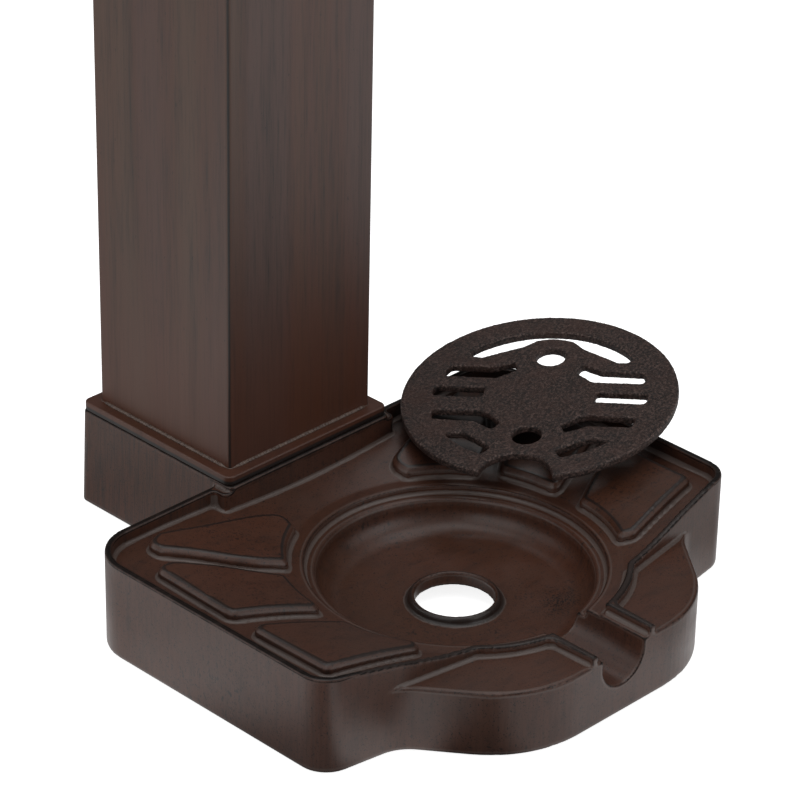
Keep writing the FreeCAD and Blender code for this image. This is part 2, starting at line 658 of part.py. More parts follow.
# cap: a plate with a low four-sided roof and a skirt that plugs the tube
cap = doc.addObject("PartDesign::Body", "post_cap")
sk = body_sketch(cap, "post_cap_outline")
square_sketch(sk, d.cap_half, None)
p = pad(cap, sk, d.cap_plate, "post_cap_pad")
doc.recompute()
f = body_fillet(cap, p, upright_edges(p.Shape), 3.0, "post_cap_corners")
doc.recompute()
f = body_fillet(cap, f, level_edges(f.Shape, 6.0) + level_edges(f.Shape, 0.0), 1.2, "post_cap_edges")
lower = body_sketch(cap, "post_cap_roof_low")
lower.AttachmentOffset = FreeCAD.Placement(V(0, 0, 0), FreeCAD.Rotation())
lower.setExpression("AttachmentOffset.Base.z", d.cap_plate.t)
square_sketch(lower, d.cap_half - 4.0, None)
upper = body_sketch(cap, "post_cap_roof_high")
upper.setExpression("AttachmentOffset.Base.z", (d.cap_plate + d.cap_rise).t)
square_sketch(upper, 9.0, None)
lf = cap.newObject("PartDesign::AdditiveLoft", "post_cap_roof")
lf.Profile = lower
lf.Sections = [upper]
lf.Ruled = True
cap.Tip = lf
sk = body_sketch(cap, "post_cap_skirt_outline")
square_sketch(sk, d.cap_skirt_half, None)
square_sketch(sk, d.cap_skirt_half - d.cap_skirt_wall, None)
p = pad(cap, sk, d.cap_skirt_deep, "post_cap_skirt", down=True)
doc.recompute()
sk = body_sketch(cap, "post_cap_screw_holes", "YZ_Plane")
circle(sk, 1.95, 0, -d.cap_screw_low)
pk = pocket(cap, sk, 120.0, "post_cap_screw_pocket")
pk.Midplane = True
place(cap, z=d.post_top)
node(cap, "post_cap")

items = []
for i, sx in enumerate((-1, 1)):
    rot = ROT_X if sx < 0 else FreeCAD.Rotation(V(0, 1, 0), -90)
    sh = cyl("cap_screw_shank_%d" % i, 1.9, 10.0, sx * d.post_half, 0, d.post_top - d.cap_screw_low, rot)
    hd = cyl("cap_screw_head_%d" % i, 3.8, 1.4, sx * (d.post_half + 2.0), 0, d.post_top - d.cap_screw_low, rot)
    dm = cone("cap_screw_dome_%d" % i, 2.6, 3.8, 0.6, sx * (d.post_half + 2.0 + 0.6), 0, d.post_top - d.cap_screw_low, rot)
    hf = cyl("cap_screw_head2_%d" % i, 3.8, 0.6, sx * (d.post_half + 0.6), 0, d.post_top - d.cap_screw_low, rot)
    items.append(fuse("cap_screw_%d" % i, [sh, hd, dm, hf]))
c = doc.addObject("Part::Compound", "cap_screws")
c.Links = items
node(c, "cap_screws")

# ------------------------------------------------------------------- grate
def grate_outlines():
    """Openings of the grate, seen from above; the second axis points away from the finger notch."""
    out = []
    centre, rad = 1.0, 57.0
    a0 = math.asin(44.5 / rad)
    steps = 4
    far = []
    for i in range(steps):
        a = a0 - (i + 0.5) * (2 * a0 / steps)
        rr = rad / math.cos(a0 / steps)
        far.append((rr * math.sin(a), centre + rr * math.cos(a), 50.0))
    tip = (rad * math.sin(a0), centre + rad * math.cos(a0))
    low = [(42.0, 33.0, 1.0), (37.0, 32.5, 1.5), (28.5, 37.5, 6.0), (16.7, 44.0, 4.0), (10.0, 50.5, 3.0), (0.0, 53.7, 20.0)]
    mir = [(-x, y, r) for x, y, r in low[:-1]]
    out.append([(tip[0], tip[1], 0.8)] + far + [(-tip[0], tip[1], 0.8)] + mir + [low[-1]] + list(reversed(low[:-1])))
    half = [
        [(16, 22, 1.5), (18.5, 29, 1.5), (29, 23.8, 3), (52, 23.5, 1.5), (54.3, 17.5, 1.5), (53, 14, 1.5), (26, 13.8, 3)],
        [(30, 4.3, 1.8), (56.5, 4.3, 1.8), (58.2, 0, 6), (56.5, -4.3, 1.8), (30, -4.3, 1.8)],
        [(54.6, -17.8, 1.5), (30, -16.5, 3), (24.5, -18.5, 3), (16.1, -26.5, 1.5), (19.4, -33, 1.5), (30, -26.3, 3), (53, -25.6, 1.5)],
        [(44.5, -38.5, 1.2), (34, -37, 1.5), (28.5, -40.5, 3), (17, -49.3, 1.2), (21, -55, 1.5), (31, -50.2, 5), (39.5, -43, 5)]]
    for p in half:
        out.append(p)
        out.append([(-x, y, r) for x, y, r in reversed(p)])
    return out


grate = doc.addObject("PartDesign::Body", "drain_grate")
sk = body_sketch(grate, "drain_grate_disc")
circle(sk, d.grate_round)
p = pad(grate, sk, d.grate_thick, "drain_grate_pad", down=True)
doc.recompute()
full_volume = p.Shape.Volume
sk = body_sketch(grate, "drain_grate_openings")
for pts in grate_outlines():
    for g in rounded(pts):
        sk.addGeometry(g, False)
pk = pocket(grate, sk, d.grate_thick, "drain_grate_slots")
doc.recompute()
sk = body_sketch(grate, "drain_grate_holes")
circle(sk, d.lift_hole, 0, d.lift_hole_far)
circle(sk, d.lift_hole, 0, -d.lift_hole_near)
pk = pocket(grate, sk, d.grate_thick, "drain_grate_lift_holes")
doc.recompute()
sk = body_sketch(grate, "drain_grate_notch")
circle(sk, d.notch_round, 0, -d.notch_away)
pk = pocket(grate, sk, d.grate_thick, "drain_grate_notch_pocket")
doc.recompute()
if pk.Shape.Volume > 0.85 * full_volume:
    raise RuntimeError("the grate's openings were not cut")
names = level_edges(pk.Shape, 0.0) + level_edges(pk.Shape, -d.grate_thick.v)
body_chamfer(grate, pk, names, d.grate_chamfer, "drain_grate_soft_edges")
eu = V(0.5333, -0.8412, 0.0892)
ev = V(0.8329, 0.5406, 0.1186)
nn = eu.cross(ev).normalize()
eu = ev.cross(nn).normalize()
ev = nn.cross(eu)
m = FreeCAD.Matrix(eu.x, ev.x, nn.x, 117.79, eu.y, ev.y, nn.y, -108.73, eu.z, ev.z, nn.z, 64.89, 0, 0, 0, 1)
grate.Placement = FreeCAD.Placement(m)
node(grate, "drain_grate")

# --------------------------------------------------------------------- tap
front = -d.post_half
face_rot = FreeCAD.Rotation(V(1, 0, 0), 90)       # own +Z points to -Y, own Y points up

b = ring_body("tap_gasket", d.gasket_round, d.tap_hole, d.gasket_thick)
place(b, 0, front, d.tap_axis, face_rot)
node(b, "tap_gasket")

b = turned("tap_rosette", [
    (d.tap_hole, 0), (d.rosette_round - 0.6, 0), (d.rosette_round, 0.6), (d.rosette_round, 1.6), (d.rosette_round - 1.4, 2.6),
    (d.rosette_round - 5, 3.4), (d.rosette_round - 9, 4.6), (d.rosette_round - 12, 6.2), (d.rosette_round - 13.5, d.rosette_thick),
    (d.tap_hole, d.rosette_thick)])
place(b, 0, front - d.gasket_thick, d.tap_axis, face_rot)
node(b, "tap_rosette")

y_hex = front - d.gasket_thick - d.rosette_thick        # outer face of the rosette
stem = -d.stem_y
solids = [
    cyl("tap_tail", d.tail_round, 34.5, 0, y_hex + 34.5, d.tap_axis, face_rot),
    hexagon("tap_hexagon", d.tap_hex, d.tap_hex_thick, 0, y_hex, d.tap_axis, face_rot),
    cyl("tap_neck", 11.5, d.stem_y + y_hex, 0, y_hex, d.tap_axis, face_rot),
    cyl("tap_neck_ring", 12.8, 3.0, 0, y_hex - d.tap_hex_thick - 4.0, d.tap_axis, face_rot),
    cyl("tap_chamber", d.chamber_round, d.chamber_top - d.chamber_low, 0, stem, d.chamber_low),
    cone("tap_chamber_foot", 9.0, d.chamber_round, 5.0, 0, stem, d.chamber_low - 5.0),
    cyl("tap_chamber_knob", 6.0, 3.0, 0, stem, d.chamber_low - 8.0),
    cyl("tap_chamber_rim", 16.2, 4.0, 0, stem, d.chamber_top - 4.0),
    cyl("tap_spout_level", d.spout_round, d.spout_y - d.spout_bend - d.stem_y, 0, stem, d.spout_axis, face_rot),
]
t = doc.addObject("Part::Torus", "tap_spout_bend")
bind(t, "Radius1", d.spout_bend)
bind(t, "Radius2", d.spout_round)
t.Angle3 = 90.0
# ring in the YZ plane, its quarter from straight up to straight out
place(t, 0, -(d.spout_y - d.spout_bend), d.spout_axis - d.spout_bend, FreeCAD.Rotation(V(0, -1, 0), V(0, 0, 1), V(-1, 0, 0), "XYZ"))
solids.append(t)
solids.append(cyl("tap_spout_drop", d.spout_round, d.spout_axis - d.spout_bend - d.outlet_low - 10.0, 0, -d.spout_y, d.outlet_low + 10.0))
solids.append(cone("tap_outlet_flare", d.outlet_round + 0.8, d.spout_round, 3.0, 0, -d.spout_y, d.outlet_low + 15.0))
solids.append(cyl("tap_outlet_collar", d.outlet_round + 0.8, 3.0, 0, -d.spout_y, d.outlet_low + 12.0))
solids.append(cyl("tap_outlet_thread", d.outlet_round, 12.0, 0, -d.spout_y, d.outlet_low))
outer = fuse("tap_outside", solids)
tools = [
    cyl("tap_inlet_bore", 6.0, d.stem_y + y_hex + 16.0, 0, y_hex + 40.0, d.tap_axis, face_rot),
    cyl("tap_inlet_way", 5.0, 40.0, 0, stem + 34.0, d.tap_axis - 2.2, face_rot),
    cyl("tap_low_chamber", 9.0, d.seat_top - 3.0 - d.chamber_low - 4.0, 0, stem, d.chamber_low + 4.0),
    cyl("tap_seat_bore", d.seat_bore, 10.0, 0, stem, d.seat_top - 8.0),
    cyl("tap_top_chamber", 9.5, d.chamber_top - d.seat_top + 5.0, 0, stem, d.seat_top),
    cyl("tap_spout_bore", 6.0, d.spout_y - d.spout_bend - d.stem_y - 5.0, 0, stem - 5.0, d.spout_axis + 0.4, face_rot),
    cyl("tap_drop_bore", 7.0, d.spout_axis - d.spout_bend - d.outlet_low + 5.0, 0, -d.spout_y, d.outlet_low - 5.0),
]
t = doc.addObject("Part::Torus", "tap_bend_bore")
bind(t, "Radius1", d.spout_bend)
t.Radius2 = 7.0
t.Angle3 = 90.0
place(t, 0, -(d.spout_y - d.spout_bend), d.spout_axis - d.spout_bend, FreeCAD.Rotation(V(0, -1, 0), V(0, 0, 1), V(-1, 0, 0), "XYZ"))
tools.append(t)
node(cut("tap_body", outer, tools), "tap_body")

b = ring_body("tap_back_washer", 18.0, d.tap_hole, 2.0)
place(b, 0, front + d.post_wall + 2.0, d.tap_axis, face_rot)
node(b, "tap_back_washer")
nut = cut("tap_back_nut", hexagon("back_nut_hex", 16.2, 8.0, 0, front + d.post_wall + 10.0, d.tap_axis, face_rot),
          [cyl("back_nut_bore", d.tail_round + 0.06, 12.0, 0, front + d.post_wall + 12.0, d.tap_axis, face_rot)])
node(nut, "tap_back_nut")

# elbow from the tap's tail down to the riser pipe
elbow_out = fuse("elbow_outside", [
    cyl("elbow_socket", 14.0, 14.0, 0, -20.5, d.tap_axis, face_rot),
    cyl("elbow_neck", 11.0, 22.0, 0, 0, d.tap_axis, face_rot),
    ball("elbow_heel", 11.0, 0, 0, d.tap_axis),
    cyl("elbow_leg", 11.0, 14.0, 0, 0, d.tap_axis - 14.0),
    cyl("elbow_thread", 10.4, 32.0, 0, 0, d.tap_axis - 32.0)])
elbow_in = [
    cyl("elbow_tail_bore", d.tail_round + 0.06, 11.0, 0, -24.0, d.tap_axis, face_rot),
    cyl("elbow_way", 6.0, 34.0, 0, 0, d.tap_axis, face_rot),
    ball("elbow_turn", 6.0, 0, 0, d.tap_axis),
    cyl("elbow_down", 6.0, 32.0, 0, 0, d.tap_axis - 32.0),
    cyl("elbow_pipe_bore", d.pipe_round + 0.08, 18.0, 0, 0, d.tap_axis - 32.0),
    cyl("elbow_olive_seat", 8.75, 4.5, 0, 0, d.tap_axis - 32.5)]
node(cut("elbow_fitting", elbow_out, elbow_in), "elbow_fitting")


def compression_nut(name, z, up):
    """A hexagon nut over a threaded end: up tells which way its shoulder faces."""
    hx = hexagon(name + "_hex", 13.9, 18.0, 0, 0, z)
    if up:
        tools_ = [cyl(name + "_thread", 10.47, 11.0, 0, 0, z - 1.0), cyl(name + "_bore", d.pipe_round + 0.12, 20.0, 0, 0, z - 1.0)]
    else:
        tools_ = [cyl(name + "_thread", 10.47, 11.0, 0, 0, z + 8.0), cyl(name + "_bore", d.pipe_round + 0.12, 20.0, 0, 0, z - 1.0)]
    return node(cut(name, hx, tools_), name)


compression_nut("elbow_nut", d.tap_axis - 42.0, False)
b = ring_body("elbow_olive", 8.65, d.pipe_round + 0.05, 3.6)
place(b, 0, 0, d.tap_axis - 31.9)
node(b, "elbow_olive")

b = ring_body("riser_pipe", d.pipe_round, d.pipe_bore, d.pipe_top - d.pipe_low)
place(b, 0, 0, d.pipe_low)
node(b, "riser_pipe")

adapter = cut("inlet_adapter", fuse("adapter_outside", [
    cyl("adapter_supply_thread", d.tail_round, 14.0, 0, 0, d.inlet_low),
    hexagon("adapter_hex", 13.9, 8.0, 0, 0, d.inlet_low + 14.0),
    cyl("adapter_pipe_thread", 10.4, 16.0, 0, 0, d.inlet_low + 22.0)]), [
    cyl("adapter_way", 6.0, 40.0, 0, 0, d.inlet_low - 1.0),
    cyl("adapter_pipe_bore", d.pipe_round + 0.08, 14.0, 0, 0, d.inlet_low + 25.0),
    cyl("adapter_olive_seat", 8.75, 4.5, 0, 0, d.inlet_low + 34.0)])
node(adapter, "inlet_adapter")
compression_nut("inlet_nut", d.inlet_low + 30.0, True)
b = ring_body("inlet_olive", 8.65, d.pipe_round + 0.05, 3.6)
place(b, 0, 0, d.inlet_low + 34.3)
node(b, "inlet_olive")

# headwork: everything below turns or slides about the stem's axis at (0, stem)
b = ring_body("bonnet_washer", 14.5, 9.7, 2.0)
place(b, 0, stem, d.chamber_top)
node(b, "bonnet_washer")

bonnet_out = fuse("bonnet_outside", [
    cyl("bonnet_thread", 9.44, 14.0, 0, stem, d.chamber_top - 12.0),
    hexagon("bonnet_hex", 14.6, 8.0, 0, stem, d.chamber_top + 2.0),
    cyl("bonnet_neck", 9.0, 12.0, 0, stem, d.chamber_top + 10.0)])
bonnet_in = [
    cyl("bonnet_slide_bore", 8.1, 15.0, 0, stem, d.chamber_top - 13.0),
    cyl("bonnet_stem_bore", 4.06, 30.0, 0, stem, d.chamber_top),
    cyl("bonnet_packing_bore", 6.5, 8.0, 0, stem, d.chamber_top + 16.0)]
node(cut("tap_bonnet", bonnet_out, bonnet_in), "tap_bonnet")
b = ring_body("packing_ring", 6.4, 4.08, 5.0)
place(b, 0, stem, d.chamber_top + 16.2)
node(b, "packing_ring")
nut = cut("packing_nut", hexagon("packing_hex", 12.8, 12.0, 0, stem, d.chamber_top + 14.0), [
    cyl("packing_nut_thread", 9.06, 9.5, 0, stem, d.chamber_top + 13.0),
    cyl("packing_nut_bore", 4.3, 20.0, 0, stem, d.chamber_top + 12.0)])
node(nut, "packing_nut")

spindle = cut("tap_spindle", fuse("spindle_outside", [
    cyl("spindle_thread", 3.5, 14.0, 0, stem, d.chamber_top - 13.0),
    cyl("spindle_collar", 7.2, 2.4, 0, stem, d.chamber_top - 0.5),
    cyl("spindle_shaft", 4.0, d.handle_low + 9.5 - d.chamber_top, 0, stem, d.chamber_top)]), [
    cyl("spindle_screw_bore", 2.05, 12.0, 0, stem, d.handle_low - 1.0)])
node(spindle, "tap_spindle")

arms = [cyl("handle_hub", 9.0, 14.0, 0, stem, d.handle_low),
        cone("handle_skirt", 7.0, 9.0, 2.0, 0, stem, d.handle_low - 2.0),
        cyl("handle_ring", 9.8, 2.0, 0, stem, d.handle_low + 10.5)]
for i in range(4):
    ax, ay = ((1, 0), (0, 1), (-1, 0), (0, -1))[i]
    rot = FreeCAD.Rotation(V(0, 0, 1), V(ax, ay, 0))
    arms.append(cone("handle_arm_%d" % i, 4.6, 3.4, d.handle_arm - 5.0, ax * 5.0, stem + ay * 5.0, d.handle_low + 6.0, rot))
    arms.append(ball("handle_ball_%d" % i, 5.6, ax * d.handle_arm, stem + ay * d.handle_arm, d.handle_low + 6.0))
    arms.append(cyl("handle_bead_%d" % i, 4.6, 1.6, ax * (d.handle_arm - 7.2), stem + ay * (d.handle_arm - 7.2), d.handle_low + 6.0, rot))
handle = cut("cross_handle", fuse("handle_outside", arms), [
    cyl("handle_stem_bore", 4.03, 13.0, 0, stem, d.handle_low - 3.0),
    cyl("handle_screw_bore", 2.15, 20.0, 0, stem, d.handle_low),
    cyl("handle_recess", 5.5, 6.0, 0, stem, d.handle_low + 11.0)])
node(handle, "cross_handle")
hs = cut("handle_screw", fuse("handle_screw_outside", [
    cyl("handle_screw_head", 4.0, 1.9, 0, stem, d.handle_low + 11.0),
    cyl("handle_screw_shank", 2.0, 10.0, 0, stem, d.handle_low + 1.5)]), [
    block("handle_screw_slot", 9.0, 0.9, 1.0, -4.5, stem - 0.45, d.handle_low + 12.1)])
node(hs, "handle_screw")
b = turned("handle_index_cap", [(0, 0), (5.42, 0), (5.42, 0.9), (4.9, 1.4), (3.2, 1.9), (0, 2.1)])
place(b, 0, stem, d.handle_low + 13.1)
node(b, "handle_index_cap")

# what the spindle lifts: carrier, washer and its nut
carrier = cut("valve_carrier", fuse("carrier_outside", [
    cyl("carrier_barrel", 8.0, 11.0, 0, stem, d.seat_top + 4.0),
    cyl("carrier_dish", 7.8, 2.0, 0, stem, d.seat_top + 2.6),
    cyl("carrier_stud", 2.0, 5.4, 0, stem, d.seat_top - 1.6)]), [
    cyl("carrier_thread", 3.56, 14.0, 0, stem, d.seat_top + 4.0)])
node(carrier, "valve_carrier")
b = ring_body("valve_washer", 7.6, 2.05, 2.5)
place(b, 0, stem, d.seat_top + 0.06)
node(b, "valve_washer")
vn = cut("valve_washer_nut", hexagon("valve_nut_hex", 3.8, 1.6, 0, stem, d.seat_top - 1.6), [
    cyl("valve_nut_bore", 2.04, 4.0, 0, stem, d.seat_top - 2.6)])
node(vn, "valve_washer_nut")

# outlet: washer, union nut and hose nozzle
b = ring_body("nozzle_washer", 12.4, 8.0, 2.0)
place(b, 0, -d.spout_y, d.outlet_low - 2.0)
node(b, "nozzle_washer")
b = turned("hose_nozzle", [
    (6.0, 0), (d.nozzle_round - 0.6, 0), (d.nozzle_round, 0.8), (d.nozzle_round, 27.8), (d.nozzle_round - 0.2, 28.0),
    (d.nozzle_round - 0.2, d.outlet_low - 4.0 - d.nozzle_low),
    (12.4, d.outlet_low - 4.0 - d.nozzle_low), (12.4, d.outlet_low - 2.0 - d.nozzle_low), (6.0, d.outlet_low - 2.0 - d.nozzle_low)])
place(b, 0, -d.spout_y, d.nozzle_low)
node(b, "hose_nozzle")
nn_ = doc.addObject("PartDesign::Body", "nozzle_nut")
sk = body_sketch(nn_, "nozzle_nut_round")
circle(sk, 16.4)
circle(sk, d.nozzle_round + 0.25)
p = pad(nn_, sk, 19.0, "nozzle_nut_pad")
doc.recompute()
p = body_chamfer(nn_, p, level_edges(p.Shape, 0.0, 12) + level_edges(p.Shape, 19.0, 12), 1.2, "nozzle_nut_bevels")
sk = body_sketch(nn_, "nozzle_nut_thread")
sk.setExpression("AttachmentOffset.Base.z", "3.5")
circle(sk, d.outlet_round + 0.07)
pocket(nn_, sk, 20.0, "nozzle_nut_bore", up=True)
doc.recompute()
# finger grips around the nut
sk = body_sketch(nn_, "nozzle_nut_grip")
circle(sk, 1.6, 17.2, 0)
pk = pocket(nn_, sk, 19.0, "nozzle_nut_flute", up=True)
doc.recompute()
pp = nn_.newObject("PartDesign::PolarPattern", "nozzle_nut_flutes")
pp.Originals = [pk]
pp.Axis = (sk, ["N_Axis"])
pp.Angle = 360.0
pp.Occurrences = 14
nn_.Tip = pp
place(nn_, 0, -d.spout_y, d.outlet_low - 7.5)
node(nn_, "nozzle_nut")

doc.recompute()
bad = []
for o in doc.Objects:
    st = [s for s in o.State if s in ("Invalid", "Error")]
    if st:
        bad.append("%s %s" % (o.Name, st))
for o in NODES:
    s = o.Shape
    if s.isNull() or not s.isValid() or not s.Solids:
        bad.append("%s has no valid solid" % o.Label)
if bad:
    raise RuntimeError("; ".join(bad))
labels = [o.Label for o in NODES]
if len(set(labels)) != len(labels):
    raise RuntimeError("labels repeat")
for o in NODES:
    o.Shape.exportStep(os.path.join("parts", o.Label + ".step"))
    bb = o.Shape.BoundBox
    print("%-22s solids %d vol %9.1f  x %.1f..%.1f y %.1f..%.1f z %.1f..%.1f" % (
        o.Label, len(o.Shape.Solids), o.Shape.Volume, bb.XMin, bb.XMax, bb.YMin, bb.YMax, bb.ZMin, bb.ZMax))
print(len(NODES), "nodes")
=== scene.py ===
import json
import math

import bpy
from mathutils import Matrix, Vector


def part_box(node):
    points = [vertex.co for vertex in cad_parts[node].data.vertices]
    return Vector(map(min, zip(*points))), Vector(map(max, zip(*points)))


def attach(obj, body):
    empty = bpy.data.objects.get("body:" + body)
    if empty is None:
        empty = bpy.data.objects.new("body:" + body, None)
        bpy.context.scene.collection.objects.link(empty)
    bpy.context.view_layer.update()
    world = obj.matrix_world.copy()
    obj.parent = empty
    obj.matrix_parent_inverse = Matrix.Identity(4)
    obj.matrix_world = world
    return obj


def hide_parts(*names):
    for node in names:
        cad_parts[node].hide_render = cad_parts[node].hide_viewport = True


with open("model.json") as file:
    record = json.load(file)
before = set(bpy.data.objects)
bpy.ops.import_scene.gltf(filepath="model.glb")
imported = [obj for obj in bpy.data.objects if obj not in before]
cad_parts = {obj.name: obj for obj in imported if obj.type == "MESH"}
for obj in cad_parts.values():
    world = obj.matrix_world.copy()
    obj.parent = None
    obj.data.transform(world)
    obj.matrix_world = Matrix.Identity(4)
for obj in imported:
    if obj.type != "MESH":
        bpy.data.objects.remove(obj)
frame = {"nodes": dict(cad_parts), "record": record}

scene = bpy.context.scene
nodes = frame["nodes"]
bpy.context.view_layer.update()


# ---------------------------------------------------------------- node helpers
class Net:
    """A material's node tree with short calls. Everything is measured in the row frame, in metres."""

    def __init__(self, name):
        self.mat = bpy.data.materials.new(name)
        self.mat.use_nodes = True
        self.t = self.mat.node_tree
        self.t.nodes.clear()
        self.out = self.t.nodes.new("ShaderNodeOutputMaterial")
        self.coord = self.t.nodes.new("ShaderNodeTexCoord").outputs["Object"]

    def link(self, a, b):
        self.t.links.new(a, b)
        return b

    def put(self, socket, value):
        if hasattr(value, "links") or hasattr(value, "is_output"):
            self.t.links.new(value, socket)
        else:
            socket.default_value = value

    def scaled(self, sx, sy, sz, at=(0, 0, 0), turn=(0, 0, 0), source=None):
        m = self.t.nodes.new("ShaderNodeMapping")
        self.link(source or self.coord, m.inputs["Vector"])
        m.inputs["Location"].default_value = at
        m.inputs["Rotation"].default_value = turn
        m.inputs["Scale"].default_value = (sx, sy, sz)
        return m.outputs[0]

    def noise(self, vector, scale=1.0, detail=3.0, rough=0.5, distort=0.0, colour=False):
        n = self.t.nodes.new("ShaderNodeTexNoise")
        self.link(vector, n.inputs["Vector"])
        n.inputs["Scale"].default_value = scale
        n.inputs["Detail"].default_value = detail
        n.inputs["Roughness"].default_value = rough
        n.inputs["Distortion"].default_value = distort
        return n.outputs["Color" if colour else "Fac"]

    def voronoi(self, vector, scale=1.0, feature="F1", out="Distance", rand=1.0):
        n = self.t.nodes.new("ShaderNodeTexVoronoi")
        n.feature = feature
        self.link(vector, n.inputs["Vector"])
        n.inputs["Scale"].default_value = scale
        n.inputs["Randomness"].default_value = rand
        return n.outputs[out]

    def ramp(self, value, stops, smooth=False):
        n = self.t.nodes.new("ShaderNodeValToRGB")
        n.color_ramp.interpolation = "EASE" if smooth else "LINEAR"
        e = n.color_ramp.elements
        while len(e) < len(stops):
            e.new(0.5)
        for k, (at, c) in enumerate(stops):
            e[k].position = at
            e[k].color = (c, c, c, 1) if isinstance(c, (int, float)) else (*c, 1)
        self.link(value, n.inputs["Fac"])
        return n.outputs["Color"]

    def maths(self, kind, a, b=None, clamp=False):
        n = self.t.nodes.new("ShaderNodeMath")
        n.operation = kind
        n.use_clamp = clamp
        self.put(n.inputs[0], a)
        if b is not None:
            self.put(n.inputs[1], b)
        return n.outputs[0]

    def mix(self, fac, a, b, kind="MIX"):
        n = self.t.nodes.new("ShaderNodeMix")
        n.data_type = "RGBA"
        n.blend_type = kind
        self.put(n.inputs["Factor"], fac)
        self.put(n.inputs[6], a if not isinstance(a, tuple) else (*a, 1))
        self.put(n.inputs[7], b if not isinstance(b, tuple) else (*b, 1))
        return n.outputs[2]

    def part(self, vector, axis):
        n = self.t.nodes.new("ShaderNodeSeparateXYZ")
        self.link(vector, n.inputs[0])
        return n.outputs["XYZ".index(axis)]

    def normal_part(self, axis):
        g = self.t.nodes.new("ShaderNodeTexCoord")
        return self.part(g.outputs["Normal"], axis)

    def range(self, value, low, high, to_low=0.0, to_high=1.0, smooth=True):
        n = self.t.nodes.new("ShaderNodeMapRange")
        n.interpolation_type = "SMOOTHSTEP" if smooth else "LINEAR"
        self.link(value, n.inputs["Value"])
        for k, v in (("From Min", low), ("From Max", high), ("To Min", to_low), ("To Max", to_high)):
            n.inputs[k].default_value = v
        return n.outputs[0]

    def edge(self, radius, low=0.0, high=0.25):
        """1 near sharp edges of the surface, 0 on flats: how far a rounded normal leans from the true one."""
        b = self.t.nodes.new("ShaderNodeBevel")
        b.samples = 6
        b.inputs["Radius"].default_value = radius
        g = self.t.nodes.new("ShaderNodeNewGeometry")
        d = self.t.nodes.new("ShaderNodeVectorMath")
        d.operation = "DOT_PRODUCT"
        self.link(b.outputs[0], d.inputs[0])
        self.link(g.outputs["Normal"], d.inputs[1])
        return self.range(d.outputs["Value"], 1.0 - low, 1.0 - high, 0.0, 1.0)

    def ridge(self, low, high, to_low=0.0, to_high=1.0):
        """Convex lines of a dense mesh (values above 0.5) or inner corners (below)."""
        g = self.t.nodes.new("ShaderNodeNewGeometry")
        return self.range(g.outputs["Pointiness"], low, high, to_low, to_high)

    def bump(self, height, strength, distance, under=None):
        n = self.t.nodes.new("ShaderNodeBump")
        n.inputs["Strength"].default_value = strength
        n.inputs["Distance"].default_value = distance
        self.link(height, n.inputs["Height"])
        if under is not None:
            self.link(under, n.inputs["Normal"])
        return n.outputs[0]

    def shade(self, colour, rough, normal=None, metal=0.0, specular=0.5, coat=0.0, coat_rough=0.1):
        p = self.t.nodes.new("ShaderNodeBsdfPrincipled")
        self.put(p.inputs["Base Color"], (*colour, 1) if isinstance(colour, tuple) else colour)
        self.put(p.inputs["Roughness"], rough)
        p.inputs["Metallic"].default_value = metal
        self.put(p.inputs["Specular IOR Level"], specular)
        p.inputs["Coat Weight"].default_value = coat
        p.inputs["Coat Roughness"].default_value = coat_rough
        if normal is not None:
            self.link(normal, p.inputs["Normal"])
        self.link(p.outputs[0], self.out.inputs["Surface"])
        return self.mat


# ---------------------------------------------------------------- materials
BROWN = (0.055, 0.0212, 0.0112)
DARK = (0.0105, 0.0075, 0.0068)
RED = (0.067, 0.0232, 0.0122)
GREY = (0.105, 0.082, 0.073)
MAUVE = (0.060, 0.034, 0.029)
OLIVE = (0.062, 0.036, 0.022)


def hollow(n, distance, dark, low=0.25, high=0.85, alone=True):
    """1 in tight inner corners, 0 on open faces, by ambient occlusion over the given distance: darker inner corners at
    short distances, and at long ones a painted shadow from nearby parts.
    """
    a = n.t.nodes.new("ShaderNodeAmbientOcclusion")
    a.samples = 8
    a.only_local = alone
    a.inputs["Distance"].default_value = distance
    return n.range(a.outputs["AO"], low, high, dark, 0.0)


